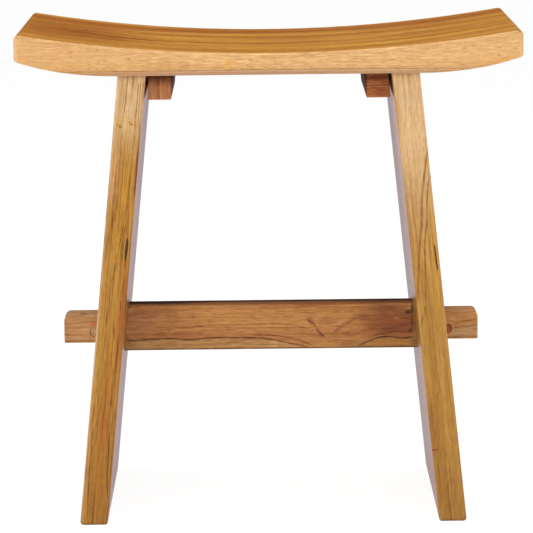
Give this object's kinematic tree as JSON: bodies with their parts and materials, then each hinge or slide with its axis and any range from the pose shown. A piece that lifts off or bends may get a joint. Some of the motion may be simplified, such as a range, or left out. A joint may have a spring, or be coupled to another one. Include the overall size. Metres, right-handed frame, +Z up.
{
  "type": "shower bench",
  "caption": "Backless wooden bench for one: a saddle-dished seat board on leaning slab legs tied by a through-tenoned rail.",
  "frame": {"origin": "on the floor, under the middle of the seat", "axes": "+X along the seat to the right as seen from the front, +Y from front to back, +Z up"},
  "size_m": [0.457, 0.3, 0.4492],
  "materials": {
    "seat_teak": "sanded and oiled teak, satin",
    "leg_teak": "sanded and oiled teak, satin",
    "rail_teak": "sanded and oiled teak, satin",
    "cleat_teak": "planed reddish-brown teak, satin",
    "peg_teak": "turned dark teak, satin",
    "dowel_wood": "plain turned hardwood, matte",
    "screw_steel": "plain stainless steel"
  },
  "bodies": {
    "root": {"seat": "seat_teak", "leg_left": "leg_teak", "leg_right": "leg_teak", "rail": "rail_teak", "peg_left": "peg_teak", "peg_right": "peg_teak", "cleat_left": "cleat_teak", "cleat_right": "cleat_teak", "seat_dowels_left": "dowel_wood", "seat_dowels_right": "dowel_wood", "cleat_screws_left": "screw_steel", "cleat_screws_right": "screw_steel"}
  },
  "joints": []
}
